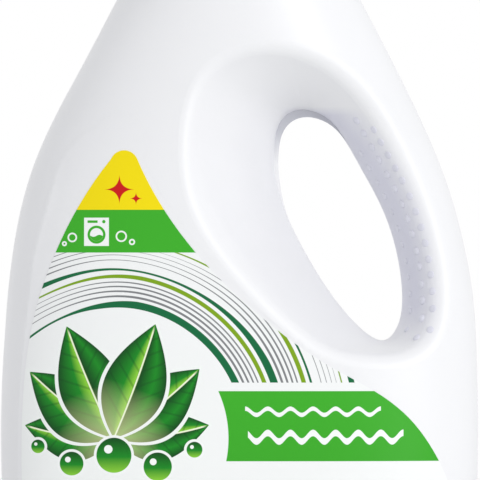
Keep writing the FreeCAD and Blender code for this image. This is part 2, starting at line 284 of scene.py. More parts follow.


# Painted shade on the grip beside the hand hole, in millimetres across and up: the circle that bounds it by
# the handle's face, its top and foot, and the hand hole's long axis with how far past it the painted shade
# starts
GRIP_CIRCLE, GRIP_RADIUS = (-23.9, 124.3), 95.4
GRIP_TOP, GRIP_FOOT = 192.0, 115.0
HOLE_MIDDLE, HOLE_SIDE, HOLE_PAST = (36.0, 151.5), (0.94, 0.343), -4.0
# Painted shadow on the web: the height below which it fades out, and the hand hole's top
WEB_FADE, HOLE_TOP = 179.0, 200.0


def grip_shade_zone(x, z):
    """1 on the band beside the hand hole that is painted darker as shade, fading out towards the handle's
    face.
    """
    side = (x - HOLE_MIDDLE[0]) * HOLE_SIDE[0] + (z - HOLE_MIDDLE[1]) * HOLE_SIDE[1]
    near = reach(x, z, GRIP_CIRCLE).below(GRIP_RADIUS - 4.0, 9.0)
    return near * side.above(HOLE_PAST, 5.0) * z.below(GRIP_TOP, 3.0) * z.above(GRIP_FOOT, 14.0)


def web_shadow_zone(x, y, z):
    """1 on the pinched web, which is all that lies so near the middle plane round the hand hole; it is
    painted darker as the shadow under the hole's top.
    """
    across = x.above(5.0, 1.0) * x.below(50.0, 1.0)
    return abs(y).below(0.8, 0.12) * across * z.above(WEB_FADE, 12.0) * z.below(HOLE_TOP, 1.0)


def bottle_plastic(plastic):
    """White blown plastic: faint flow and orange peel, a fine seam, painted shade on the grip and painted
    shadow on the pinched web.
    """
    finish = Finish("blown_plastic", roughness=0.38, ior=1.5)
    spot, (x, y, z) = finish.place()
    tone = finish.mottled(plastic.bottle, 0.965, finish.noise(spot, 18.0, 3.0))
    # Painted shade: the grip beside the hand hole is greyed
    tone = finish.over(tone, tuple(plastic.grip), grip_shade_zone(x / MM, z / MM))
    # Painted shadow on the pinched web under the hand hole's top lip
    tone = finish.over(tone, tuple(plastic.web), web_shadow_zone(x / MM, y / MM, z / MM))
    finish.feed("Base Color", tone)
    finish.feed("Roughness", finish.noise(spot, 60.0, 4.0) * 0.1 + 0.33)
    peel = finish.noise(spot, 900.0, 2.0) * 0.012 + finish.noise(spot, 140.0, 2.0) * 0.05
    seam = (abs(y) / MM).below(0.22, 0.2) * 0.12
    finish.bump(peel + seam, 1.0 * MM, 0.55)
    return finish.material


def dot_plastic(plastic):
    """The grip's plastic on its raised dots, greyed with a lighter painted shade of the grip, a little
    smoother from wear.
    """
    finish = Finish("frosted_dot_plastic", roughness=0.4, ior=1.5)
    spot, _ = finish.place()
    worn = finish.noise(spot, 160.0, 2.0)
    # Painted shade: the dots' colour is the grip's greyed tint, lighter, mottled at random
    finish.feed("Base Color", finish.mottled(plastic.dots, 0.94, worn))
    finish.feed("Roughness", worn * 0.12 + 0.34)
    finish.bump(finish.noise(spot, 1800.0, 2.0) * 0.01, 1.0 * MM, 0.4)
    return finish.material


def cap_plastic(plastic):
    """Green moulded plastic with faint swirls and a fine grain."""
    finish = Finish("moulded_cap_plastic", roughness=0.3, ior=1.5)
    spot, _ = finish.place()
    swirl = finish.noise(spot, 35.0, 3.0)
    finish.feed("Base Color", finish.mottled(plastic.cap, 0.8, swirl, 0.6))
    finish.feed("Roughness", finish.noise(spot, 120.0, 3.0) * 0.14 + 0.24)
    finish.bump(finish.noise(spot, 1400.0, 2.0) * 0.02, 1.0 * MM, 0.5)
    return finish.material


def spout_plastic(plastic):
    """Milky moulded plastic, a little glossier than the bottle."""
    finish = Finish("moulded_spout_plastic", roughness=0.35, ior=1.5)
    spot, _ = finish.place()
    milk = finish.noise(spot, 45.0, 2.0)
    finish.feed("Base Color", finish.mottled(plastic.spout, 0.93, milk, 0.6))
    finish.feed("Roughness", finish.noise(spot, 200.0, 2.0) * 0.12 + 0.3)
    finish.bump(finish.noise(spot, 1000.0, 2.0) * 0.02, 1.0 * MM, 0.4)
    return finish.material


def seal_foam(plastic):
    """Matt foam with fine closed cells."""
    finish = Finish("expanded_seal_foam", roughness=0.8)
    spot, _ = finish.place()
    cells = finish.node("TexVoronoi", {}, {"Vector": spot, "Scale": 2600.0})
    finish.feed("Base Color", finish.mottled(plastic.seal, 0.82, cells, 0.6))
    finish.feed("Roughness", cells * 0.2 + 0.7)
    finish.bump(cells * 0.08, 1.0 * MM, 0.6)
    return finish.material


# Label print, in millimetres across and up the front
TIP_FOOT = 156.8
BAND_FOOT = 141.65
BANNER_TOP, BANNER_FOOT = 92.7, 67.9
SPRIG = (-44.4, 76.0)
BANNER_GAP = 40.5
RIPPLE_FIRST, RIPPLE_PITCH = 46.0, 13.0

# Foot of the label: its wavy edge, and the pictograms above it
LABEL_WAVE = 24.0
CARE_HEIGHT, CARE_PLACES = 47.0, (14.0, 33.0, 52.0)

# Pale ink of the pictograms and waves, and the white of the film
PALE, FILM_WHITE = (0.95, 0.97, 0.95), (0.93, 0.94, 0.93)

# Middle of the washing machine, and its bubbles: sideways and upward shift from there, and radius
WASHER = (-50.6, 149.0)
BUBBLES = [(-8.6, -2.0, 1.7), (8.8, -1.6, 2.0), (12.6, -3.6, 1.1), (-11.4, -4.2, 0.9)]

# Sparks on the tip: middle and size
SPARKS = [((-42.5, 164.0), 5.6), ((-36.6, 160.8), 2.4)]

# Waves on the banner: height, swing, half stroke, and where each starts and ends
BANNER_WAVES = [(85.4, 1.1, 0.75, 2.0, 50.0), (76.4, 1.5, 1.15, 3.0, 58.0)]
BANNER_WAVE_LENGTH = 8.0

# Drops at the foot of the sprig: sideways and upward shift from there, and radius
DROPS = [(-15.0, -9.0, 4.2), (15.5, -10.0, 5.0), (0.0, -6.0, 6.2), (-27.0, -3.0, 2.4), (28.5, -4.0, 2.8)]

# Stripes of a ripple: start and width across it, and the label's colour
STRIPES = [(0.0, 2.6, "teal"), (3.6, 0.8, "grey"), (5.4, 0.7, "grey"),
           (7.1, 0.6, "grey"), (8.7, 0.5, "grey"), (10.3, 1.5, "olive")]

# Leaves of the sprig: direction in degrees, length, half width and bend
LEAVES = [
    (172.0, 32.0, 7.6, -0.16),
    (8.0, 34.0, 7.6, 0.16),
    (142.0, 38.0, 8.8, -0.10),
    (39.0, 39.0, 8.8, 0.10),
    (113.0, 43.0, 9.4, -0.06),
    (70.0, 43.0, 9.4, 0.06),
]


def turned(x, z, origin, degrees):
    """Place measured along and across a direction from an origin."""
    c, s = math.cos(math.radians(degrees)), math.sin(math.radians(degrees))
    along = (x - origin[0]) * c + (z - origin[1]) * s
    across = (z - origin[1]) * c - (x - origin[0]) * s
    return along, across


def reach(x, z, centre):
    return ((x - centre[0]) ** 2 + (z - centre[1]) ** 2).root()


def draw_ripples(finish, paint, x, z, label):
    """Broken rings of teal, grey and olive, as on disturbed water."""
    out = reach(x, z, SPRIG)
    wobble = (x * 0.11 + z * 0.07).sine() * 0.35
    phase = (out - RIPPLE_FIRST + wobble).remainder(RIPPLE_PITCH)
    turn = (z - SPRIG[1]).math("ARCTAN2", x - SPRIG[0])
    field = out.above(RIPPLE_FIRST) * z.below(BAND_FOOT) * z.above(BANNER_TOP + 3.0)
    ring = ((out - RIPPLE_FIRST) / RIPPLE_PITCH).math("FLOOR")
    shown = ((turn * 2.0 + ring * 1.9).sine() + 1.5).math("MULTIPLY", 0.55, clamp=True)
    for start, wide, tint in STRIPES:
        width = shown * wide
        stripe = phase.above(start) * (phase - start - width).below(0.0) * width.above(0.12)
        paint = finish.over(paint, tuple(getattr(label, tint)), stripe * field)
    return paint


def draw_leaf(finish, paint, x, z, leaf, label):
    """A pointed leaf with a dark side, a light side, a pale midrib and a white rim."""
    degrees, length, half_width, bend = leaf
    along, across = turned(x, z, SPRIG, degrees)
    share = along / length
    inside = share * (1 - share)
    half = inside * (1.45 - share * 0.6) * (half_width * 4)
    across = across + inside * (bend * length)
    edge = half - abs(across)
    on = share.above(0.0, 0.02) * share.below(1.0, 0.02)
    rim = edge.above(-1.3) * share.above(-0.03, 0.02) * share.below(1.03, 0.02)
    paint = finish.over(paint, (0.93, 0.96, 0.93), rim)
    side = (across / half.most(0.2)) * 0.5 + 0.5
    stops = [(0.0, label.deep), (0.22, label.leaf), (0.47, label.deep), (0.53, label.bright),
             (0.68, label.leaf), (1.0, label.deep)]
    stops = [(place, tuple(tint)) for place, tint in stops]
    body = finish.node("ValToRGB", {"stops": stops}, {0: side})
    veins = (share * 46.0 + abs(across) * -0.9).sine().above(0.86, 0.2) * share.below(0.94, 0.1)
    body = finish.over(body, tuple(label.deep), veins * 0.35)
    glow = (1 - share).above(0.8, 0.5)
    body = finish.over(body, (0.88, 0.94, 0.45), glow * 0.6)
    body = finish.over(body, (0.9, 0.97, 0.7), abs(across).below(0.28) * share.below(0.95, 0.05))
    return finish.over(paint, body, edge.above(0.0) * on)


def draw_drop(finish, paint, x, z, centre, radius, label):
    """A round drop of water with a shaded foot and a highlight."""
    out = reach(x, z, centre)
    shade = ((z - centre[1]) / radius) * 0.5 + 0.5
    stops = [(0.0, tuple(label.bright)), (0.45, tuple(label.leaf)), (1.0, tuple(label.deep))]
    body = finish.node("ValToRGB", {"stops": stops}, {0: shade})
    glint = reach(x, z, (centre[0] - radius * 0.32, centre[1] + radius * 0.34)).below(radius * 0.24)
    body = finish.over(body, (0.97, 0.99, 0.97), glint)
    paint = finish.over(paint, PALE, out.below(radius + 0.9))
    return finish.over(paint, body, out.below(radius))


def draw_banner(finish, paint, x, z, label):
    """Green banner that ends in a hollow round the sprig, with two rows of white waves."""
    clear = reach(x, z, SPRIG).above(BANNER_GAP)
    on = z.below(BANNER_TOP) * z.above(BANNER_FOOT) * clear * x.above(-20.0)
    shade = (z - BANNER_FOOT) / (BANNER_TOP - BANNER_FOOT)
    green = finish.over(tuple(label.band), tuple(c * 0.93 for c in label.band), shade.below(0.5, 1.0))
    paint = finish.over(paint, green, on)
    for height, swing, stroke, start, end in BANNER_WAVES:
        line = abs(z - height - (x * (2 * math.pi / BANNER_WAVE_LENGTH)).sine() * swing)
        paint = finish.over(paint, PALE, line.below(stroke) * x.above(start) * x.below(end))
    return paint


def draw_washer(finish, paint, x, z, label):
    """Pictogram of a front-loading washing machine, between two bubbles."""
    green = tuple(label.band)
    x, z = x - WASHER[0], z - WASHER[1]
    case = (abs(x) - 4.4).most(abs(z) - 5.0)
    paint = finish.over(paint, PALE, case.below(0.0))
    door = reach(x, z, (0.0, -1.0))
    paint = finish.over(paint, green, door.below(3.2))
    paint = finish.over(paint, PALE, door.below(2.3))
    water = (z + 1.4 - (x * 1.5).sine() * 0.35).below(0.0)
    paint = finish.over(paint, green, door.below(2.3) * water)
    drawer = abs(z - 3.6).below(0.45) * x.above(-3.2) * x.below(0.4)
    paint = finish.over(paint, green, drawer)
    paint = finish.over(paint, green, reach(x, z, (2.6, 3.6)).below(0.6))
    for shift, rise, radius in BUBBLES:
        bubble = reach(x, z, (shift, rise))
        paint = finish.over(paint, PALE, bubble.below(radius) * bubble.above(radius - 0.55))
    return paint


def draw_spark(finish, paint, x, z, centre, size, tint):
    """Four-pointed spark."""
    across, up = abs(x - centre[0]) / size, abs(z - centre[1]) / size
    star = across.root() + up.root()
    return finish.over(paint, tint, star.below(1.0, 0.05))


def draw_foot(finish, paint, x, z, label):
    """Wavy green foot with a teal and an olive line above it."""
    wave = (x * 0.075 + 0.6).sine() * 2.2 + (x * 0.031).sine() * 1.4
    height = z - LABEL_WAVE - wave
    for rise, stroke, tint in ((5.2, 0.5, label.olive), (3.2, 0.9, label.teal)):
        paint = finish.over(paint, tuple(tint), abs(height - rise).below(stroke))
    return finish.over(paint, tuple(label.band), height.below(0.0))


def draw_care(finish, paint, x, z, label):
    """Row of round pictograms: a drop, a bubble bath and a leaf."""
    for middle in CARE_PLACES:
        out = reach(x, z, (middle, CARE_HEIGHT))
        ring = out.below(7.2) * out.above(6.5)
        paint = finish.over(paint, tuple(label.leaf), ring)
    across, up = x - CARE_PLACES[0], z - CARE_HEIGHT
    narrow = (3.4 - up).most(0.0).least(5.4) * 0.46
    drop = (abs(across) - narrow).below(0.0) * up.below(4.2) * up.above(-0.6)
    bulb = reach(x, z, (CARE_PLACES[0], CARE_HEIGHT - 1.4)).below(2.5)
    paint = finish.over(paint, tuple(label.leaf), drop.most(bulb))
    across, up = x - CARE_PLACES[1], z - CARE_HEIGHT
    tub = abs(across).below(4.2) * (up - (across * 1.5).sine() * 0.35).below(-0.4) * up.above(-3.2)
    foam = reach(x, z, (CARE_PLACES[1] - 1.6, CARE_HEIGHT + 2.2)).below(1.2)
    foam = foam.most(reach(x, z, (CARE_PLACES[1] + 1.4, CARE_HEIGHT + 1.7)).below(0.9))
    paint = finish.over(paint, tuple(label.leaf), tub.most(foam))
    along, side = turned(x, z, (CARE_PLACES[2] - 3.2, CARE_HEIGHT - 3.2), 45.0)
    share = along / 9.0
    blade = (abs(side) - share * (1 - share) * 9.5).below(0.0)
    blade = blade * abs(side).above(0.25) * share.above(0.0) * share.below(1.0)
    return finish.over(paint, tuple(label.leaf), blade)


def label_film(label):
    """Printed film: a plain tip, band and banner, ripples and a leaf sprig on white."""
    finish = Finish("printed_film", roughness=0.36, ior=1.5, specular_ior_level=0.2)
    spot, (x, y, z) = finish.place()
    x, z = x / MM, z / MM
    paint = finish.constant(FILM_WHITE)
    paint = draw_ripples(finish, paint, x, z, label)
    paint = draw_banner(finish, paint, x, z, label)
    paint = draw_foot(finish, paint, x, z, label)
    paint = draw_care(finish, paint, x, z, label)
    paint = finish.over(paint, (0.93, 0.945, 0.93), reach(x, z, SPRIG).below(BANNER_GAP - 3.0, 6.0) * 0.9)
    for leaf in LEAVES:
        paint = draw_leaf(finish, paint, x, z, leaf, label)
    for shift, rise, radius in DROPS:
        paint = draw_drop(finish, paint, x, z, (SPRIG[0] + shift, SPRIG[1] + rise), radius, label)
    paint = finish.over(paint, tuple(label.band), z.above(BAND_FOOT))
    paint = draw_washer(finish, paint, x, z, label)
    paint = finish.over(paint, tuple(label.tip), z.above(TIP_FOOT))
    for middle, size in SPARKS:
        paint = draw_spark(finish, paint, x, z, middle, size, tuple(label.mark))
    finish.feed("Base Color", paint)
    grain = finish.noise(spot, 1600.0, 2.0)
    finish.feed("Roughness", grain * 0.06 + 0.33)
    finish.bump(finish.noise(spot, 220.0, 2.0) * 0.02 + grain * 0.006, 1.0 * MM, 0.4)
    return finish.material


def finish_node(node, material):
    """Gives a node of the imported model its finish."""
    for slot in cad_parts[node].material_slots:
        slot.material = material


# Distance in front of the middle plane from which the wall is looked for
FRONT = 0.2


def read_array(items, name, width, kind):
    """One attribute of a mesh's vertices, corners or the like as an array."""
    values = np.empty(len(items) * width, kind)
    items.foreach_get(name, values)
    return values.reshape(-1, width)


def bottle_surface():
    """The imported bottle's faces, to be met by straight lines."""
    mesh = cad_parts["bottle"].data
    return BVHTree.FromPolygons([v.co for v in mesh.vertices], [p.vertices for p in mesh.polygons])


def add_piece(name, mesh, material, body):
    """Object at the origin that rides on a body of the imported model."""
    mesh.materials.append(material)
    piece = bpy.data.objects.new(name, mesh)
    bpy.context.scene.collection.objects.link(piece)
    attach(piece, body)
    return piece


# Run-out of the web: how deep it is sunk in the wall, how far it reaches up into the web and stays
# inside the web's faces, what the wall is met below the web's end by, and the steps along it
ROOT = 0.9 * MM
WEB_OVERLAP, WEB_INSET, BELOW_FOOT = 0.1 * MM, 0.01 * MM, 0.02 * MM
RUN_OUT_STEPS = 32


def run_out_mesh(web):
    """Blade in the middle plane that carries the web's lower end on, narrower and narrower, to nothing."""
    surface = bottle_surface()
    verts, faces = [], []
    for k in range(RUN_OUT_STEPS + 1):
        share = k / RUN_OUT_STEPS
        z = web.foot - share * web.run_out
        start = Vector((HOLE_MIDDLE[0] * MM, 0, z - BELOW_FOOT))
        hit = surface.ray_cast(start, Vector((-1, 0, 0)))[0]
        out = hit.x + web.width * (1 - share) ** 2 * (1 + 2 * share)
        if k == 0:
            z += WEB_OVERLAP
        half = web.thickness / 2 - WEB_INSET
        verts += [(hit.x - ROOT, -half, z), (out, -half, z), (out, half, z), (hit.x - ROOT, half, z)]
    for k in range(0, 4 * RUN_OUT_STEPS, 4):
        faces += [(k + a, k + a + 4, k + b + 4, k + b) for a, b in ((0, 1), (1, 2), (2, 3), (3, 0))]
    faces += [(0, 1, 2, 3), tuple(4 * RUN_OUT_STEPS + a for a in (3, 2, 1, 0))]
    mesh = bpy.data.meshes.new("web_run_out")
    mesh.from_pydata(verts, [], faces)
    return mesh


class LAUNDRY_OT_bottle(bpy.types.Operator):
    """Finish the blown bottle and let the web of its hand hole run out"""
    bl_idname = "laundry.bottle"
    bl_label = "Bottle"

    def execute(self, context):
        plastic = bottle_plastic(context.scene.laundry_plastic)
        finish_node("bottle", plastic)
        blade = run_out_mesh(context.scene.laundry_web)
        add_piece("web_run_out", blade, plastic, "bottle")
        return {"FINISHED"}


class Wall:
    """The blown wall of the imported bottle, met from the front: heights, facings and the label's panel."""

    def __init__(self):
        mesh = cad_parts["bottle"].data
        self.spots = read_array(mesh.vertices, "co", 3, float)
        corners = read_array(mesh.loops, "vertex_index", 1, int).ravel()
        self.triangles = corners.reshape(-1, 3)
        self.facings = read_array(mesh.corner_normals, "vector", 3, float).reshape(-1, 3, 3)
        self.surface = bottle_surface()
        self.find_panel()

    def meet(self, x, z):
        """Depth, facing and triangle where a line from the front meets the wall."""
        hit, _, index, _ = self.surface.ray_cast(Vector((x, -FRONT, z)), Vector((0, 1, 0)))
        if hit is None:
            return 0.0, (0.0, -1.0, 0.0), -1
        a, b, c = self.spots[self.triangles[index]]
        areas = [np.linalg.norm(np.cross(p - hit, q - hit)) for p, q in ((b, c), (c, a), (a, b))]
        facing = np.dot(areas, self.facings[index])
        return hit.y, facing / np.linalg.norm(facing), index

    def find_panel(self):
        """Marks the triangles of the panel's floor, and lists the floor's outline seen from the front."""
        island = np.arange(len(self.spots))
        settled = False
        while not settled:
            lowest = island[self.triangles].min(axis=1)
            joined = island.copy()
            np.minimum.at(joined, self.triangles.ravel(), np.repeat(lowest, 3))
            joined = joined[joined]
            settled = np.array_equal(joined, island)
            island = joined
        places = [v.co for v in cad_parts["front_label"].data.vertices]
        met = [self.meet(place.x, place.z)[2] for place in places]
        floors = np.unique(island[self.triangles[[k for k in met if k >= 0], 0]])
        self.floor = np.isin(island[self.triangles[:, 0]], floors)
        sides = {}
        for triangle in self.triangles[self.floor]:
            for start, end in zip(triangle, np.roll(triangle, -1)):
                key = tuple(np.round(self.spots[start] / MM, 3)), tuple(np.round(self.spots[end] / MM, 3))
                sides[key] = (self.spots[start], self.spots[end])
        edge = [pair for key, pair in sides.items() if (key[1], key[0]) not in sides]
        self.outline = np.array(edge)[:, :, [0, 2]]

    def clearance(self, x, z, sides):
        """Distance from each place to the nearest of the given sides of the outline."""
        start, run = sides[:, 0], sides[:, 1] - sides[:, 0]
        size = np.maximum((run ** 2).sum(axis=1), 1e-18)
        nearest = np.full(x.shape, np.inf)
        for (sx, sz), (rx, rz), square in zip(start, run, size):
            share = np.clip(((x - sx) * rx + (z - sz) * rz) / square, 0, 1)
            nearest = np.minimum(nearest, np.hypot(x - sx - share * rx, z - sz - share * rz))
        return nearest


# Grid on which the panel's skin is laid, its clearance in front of the wall, its reach past the edge,
# and what it leaves between the label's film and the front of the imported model
GRID = 1.0 * MM
SKIN_LIFT = 0.05 * MM
SKIN_REACH = 1.7 * MM
FILM_ROOM = 0.02 * MM

# Least share of a facing that is taken to point to the front, and how far the film's back stands off
# the skin, as a share of its thickness
LEAST_FRONT = 0.2
FILM_BACK = 0.1

# Where the panel comes level with the wall beside the label's tip: from this height up and from this
# place towards the handle, each over the same length
LEVEL_FOOT, LEVEL_SIDE, LEVEL_RISE = 142.0 * MM, -64.0 * MM, 24.0 * MM


def eased(share):
    """Smooth step of shares from 0 to 1."""
    share = np.clip(share, 0, 1)
    return share ** 2 * (3 - 2 * share)


class Skin:
    """Softened wall of the label's panel: its depth and facing over a grid of x and z."""

    def __init__(self, panel):
        wall = Wall()
        low, high = wall.outline.reshape(-1, 2).min(axis=0), wall.outline.reshape(-1, 2).max(axis=0)
        self.x = np.arange(low[0] - 3 * GRID, high[0] + 3 * GRID, GRID)
        self.z = np.arange(low[1] - 3 * GRID, high[1] + 3 * GRID, GRID)
        across, up = np.meshgrid(self.x, self.z)
        met = [wall.meet(x, z) for x, z in zip(across.ravel(), up.ravel())]
        depth = np.array([m[0] for m in met]).reshape(across.shape)
        facing = np.array([m[1] for m in met]).reshape(*across.shape, 3)
        inside = np.array([m[2] >= 0 and wall.floor[m[2]] for m in met]).reshape(across.shape)
        fall = np.maximum(-facing[..., 1], LEAST_FRONT)
        run = wall.outline[:, 1] - wall.outline[:, 0]
        outer = run[:, 1] < -0.75 * np.linalg.norm(run, axis=1)
        by_crease = wall.clearance(across, up, wall.outline[outer])
        by_handle = wall.clearance(across, up, wall.outline[~outer])
        sunk = np.minimum(1 - np.exp(-by_crease / panel.crease), 1 - np.exp(-by_handle / panel.run_out))
        fade = eased((panel.crown - up) / panel.fade)
        level = eased((up - LEVEL_FOOT) / LEVEL_RISE) * eased((across - LEVEL_SIDE) / LEVEL_RISE)
        shown = fade * (1 - level) * inside
        sunk = sunk * shown * panel.recess / fall
        self.depth = depth - inside * panel.recess / fall + sunk - SKIN_LIFT / fall
        self.depth = np.maximum(self.depth, CAD_BOX[0][1] + panel.film + FILM_ROOM)
        tilt_z, tilt_x = np.gradient(sunk, GRID)
        tilt_x += panel.lean * np.exp(-by_crease / panel.lean_width) * shown
        self.facing = np.stack((facing[..., 0] / fall + tilt_x, -np.ones(across.shape),
                                facing[..., 2] / fall + tilt_z), axis=2)
        self.facing /= np.linalg.norm(self.facing, axis=2)[..., None]
        self.laid = inside | (np.minimum(by_crease, by_handle) < SKIN_REACH)

    def at(self, x, z):
        """Depth and facing at any place, between the grid's."""
        column, row = (x - self.x[0]) / GRID, (z - self.z[0]) / GRID
        left = np.clip(column.astype(int), 0, len(self.x) - 2)
        foot = np.clip(row.astype(int), 0, len(self.z) - 2)
        u, v = column - left, row - foot

        def between(table, u, v):
            """A table's value between its four nearest places."""
            lower = table[foot, left] * (1 - u) + table[foot, left + 1] * u
            upper = table[foot + 1, left] * (1 - u) + table[foot + 1, left + 1] * u
            return lower * (1 - v) + upper * v

        return between(self.depth, u, v), between(self.facing, u[:, None], v[:, None])

    def mesh(self):
        """Plain mesh of the skin, with the wall's own facings."""
        count = len(self.x)
        cells = self.laid[:-1, :-1] & self.laid[1:, :-1] & self.laid[:-1, 1:] & self.laid[1:, 1:]
        first = (np.argwhere(cells) * (count, 1)).sum(axis=1)
        faces = np.stack((first, first + 1, first + count + 1, first + count), axis=1)
        used, faces = np.unique(faces, return_inverse=True)
        across, up = np.meshgrid(self.x, self.z)
        spots = np.stack((across, self.depth, up), axis=2).reshape(-1, 3)[used]
        mesh = bpy.data.meshes.new("label_panel")
        mesh.from_pydata(spots.tolist(), [], faces.reshape(-1, 4).tolist())
        mesh.shade_smooth()
        mesh.normals_split_custom_set_from_vertices(self.facing.reshape(-1, 3)[used].tolist())
        return mesh


# Longest side of a triangle of the laid film
FILM_SIDE = 3.0 * MM


def laid_film(skin, film):
    """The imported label, merged, cut finer and laid on the softened panel."""
    work = bmesh.new()
    work.from_mesh(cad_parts["front_label"].data)
    bmesh.ops.remove_doubles(work, verts=work.verts, dist=0.001 * MM)
    long_sides = True
    while long_sides:
        bmesh.ops.triangulate(work, faces=work.faces)
        long_sides = [side for side in work.edges if side.calc_length() > FILM_SIDE]
        bmesh.ops.subdivide_edges(work, edges=long_sides, cuts=1)
    work.verts.index_update()
    outward = np.zeros(len(work.verts))
    for face in work.faces:
        for vertex in face.verts:
            outward[vertex.index] += face.normal.y * face.calc_area()
    spots = np.array([tuple(v.co) for v in work.verts])
    depth, facing = skin.at(spots[:, 0], spots[:, 2])
    outer = outward < 0
    fall = np.maximum(-facing[:, 1], LEAST_FRONT)
    for vertex, y in zip(work.verts, depth - np.where(outer, 1.0, FILM_BACK) * film / fall):
        vertex.co.y = y
    mesh = bpy.data.meshes.new("printed_label")
    work.to_mesh(mesh)
    work.free()
    mesh.shade_smooth()
    facings = []
    for face in mesh.polygons:
        flat = tuple(face.normal)
        front = all(outer[k] for k in face.vertices)
        facings.extend(tuple(facing[k]) if front else flat for k in face.vertices)
    mesh.normals_split_custom_set(facings)
    return mesh


class LAUNDRY_OT_label(bpy.types.Operator):
    """Soften the label's panel and lay the printed label on it"""
    bl_idname = "laundry.label"
    bl_label = "Panel and label"

    def execute(self, context):
        panel = context.scene.laundry_panel
        skin = Skin(panel)
        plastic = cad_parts["bottle"].material_slots[0].material
        print_film = label_film(context.scene.laundry_label)
        finish_node("front_label", print_film)
        add_piece("label_panel", skin.mesh(), plastic, "bottle")
        film = add_piece("printed_label", laid_film(skin, panel.film), print_film, "bottle")
        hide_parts("front_label")
        return {"FINISHED"}


class LAUNDRY_OT_closure(bpy.types.Operator):
    """Finish the pouring spout, its sealing ring and the dosing cap"""
    bl_idname = "laundry.closure"
    bl_label = "Spout, seal and cap"

    def execute(self, context):
        plastic = context.scene.laundry_plastic
        finish_node("pour_spout", spout_plastic(plastic))
        finish_node("seal_ring", seal_foam(plastic))
        finish_node("dosing_cap", cap_plastic(plastic))
        return {"FINISHED"}


# Handle edge of the hand hole, from its top down, in shares, and the columns of dots beside it:
# how far out from the edge, where the first dot is along it, and its rise and radius as shares
GRIP_EDGE = [(0.390, 0.735), (0.426, 0.716), (0.509, 0.668), (0.597, 0.613), (0.656, 0.555),
             (0.681, 0.499), (0.680, 0.462), (0.660, 0.440)]
GRIP_COLUMNS = [(2.6 * MM, 16.5 * MM, 1.2, 0.8), (6.8 * MM, 5.5 * MM, 1.6, 1.05),
                (10.4 * MM, 12.5 * MM, 0.9, 0.95)]

# Radius of the hole's edge there, by which a column further out is the longer one
EDGE_BEND = 60.0 * MM


def smooth_path(points, steps=24):
    """Catmull-Rom path through the points."""
    path = []
    ends = [points[0] * 2 - points[1], *points, points[-1] * 2 - points[-2]]
    for before, start, end, after in zip(ends, ends[1:], ends[2:], ends[3:]):
        for k in range(steps):
            t = k / steps
            path.append(0.5 * (2 * start + (end - before) * t
                               + (2 * before - 5 * start + 4 * end - after) * t ** 2
                               + (3 * start - before - 3 * end + after) * t ** 3))
    return path + [points[-1]]


def grip_spots(grip):
    """Places, facings and sizes of the dots on the front of the grip, in columns beside the hand hole."""
    surface = bottle_surface()
    edge = smooth_path([Vector((x * HALF_WIDTH, 0, z * BODY_HEIGHT)) for x, z in GRIP_EDGE])
    spots = []
    for offset, first, rise, radius in GRIP_COLUMNS:
        travelled, due = 0.0, first
        for here, ahead in zip(edge, edge[1:]):
            along = (ahead - here).normalized()
            outwards = Vector((-along.z, 0, along.x))
            step = (ahead - here).length * (1 + offset / EDGE_BEND)
            while travelled + step > due:
                place = here + outwards * offset + Vector((0, -FRONT, 0))
                hit, facing, _, _ = surface.ray_cast(place, Vector((0, 1, 0)))
                if hit is not None:
                    spots.append((hit, facing, (radius, radius, rise)))
                due += grip.pitch
            travelled += step
    return spots


def dot_tree(material):
    """Geometry Nodes tree that sets a flattened dome on each point, facing along its normal."""
    tree = bpy.data.node_groups.new("grip_dots", "GeometryNodeTree")
    face = tree.interface
    face.new_socket("Points", in_out="INPUT", socket_type="NodeSocketGeometry")
    face.new_socket("Radius", in_out="INPUT", socket_type="NodeSocketFloat")
    face.new_socket("Rise", in_out="INPUT", socket_type="NodeSocketFloat")
    face.new_socket("Sides", in_out="INPUT", socket_type="NodeSocketInt")
    face.new_socket("Dots", in_out="OUTPUT", socket_type="NodeSocketGeometry")
    add, link = tree.nodes.new, tree.links.new
    given, made = add("NodeGroupInput"), add("NodeGroupOutput")
    ball = add("GeometryNodeMeshUVSphere")
    ball.inputs["Radius"].default_value = 1.0
    ball.inputs["Rings"].default_value = 12
    size = add("ShaderNodeCombineXYZ")
    facing, share = (add("GeometryNodeInputNamedAttribute") for _ in range(2))
    for named, name in ((facing, "facing"), (share, "share")):
        named.data_type = "FLOAT_VECTOR"
        named.inputs["Name"].default_value = name
    scale = add("ShaderNodeVectorMath")
    scale.operation = "MULTIPLY"
    turn = add("FunctionNodeAlignRotationToVector")
    turn.axis = "Z"
    copies = add("GeometryNodeInstanceOnPoints")
    real = add("GeometryNodeRealizeInstances")
    paint = add("GeometryNodeSetMaterial")
    paint.inputs["Material"].default_value = material
    link(given.outputs["Sides"], ball.inputs["Segments"])
    link(given.outputs["Radius"], size.inputs["X"])
    link(given.outputs["Radius"], size.inputs["Y"])
    link(given.outputs["Rise"], size.inputs["Z"])
    link(facing.outputs["Attribute"], turn.inputs["Vector"])
    link(given.outputs["Points"], copies.inputs["Points"])
    link(ball.outputs["Mesh"], copies.inputs["Instance"])
    link(turn.outputs["Rotation"], copies.inputs["Rotation"])
    link(size.outputs["Vector"], scale.inputs[0])
    link(share.outputs["Attribute"], scale.inputs[1])
    link(scale.outputs["Vector"], copies.inputs["Scale"])
    link(copies.outputs["Instances"], real.inputs["Geometry"])
    link(real.outputs["Geometry"], paint.inputs["Geometry"])
    link(paint.outputs["Geometry"], made.inputs["Dots"])
    return tree


def evaluated(name, source):
    """Plain mesh object of what a source object's modifiers make; the source is removed."""
    depsgraph = bpy.context.evaluated_depsgraph_get()
    mesh = bpy.data.meshes.new_from_object(source.evaluated_get(depsgraph))
    bpy.data.objects.remove(source)
    piece = bpy.data.objects.new(name, mesh)
    bpy.context.scene.collection.objects.link(piece)
    return piece


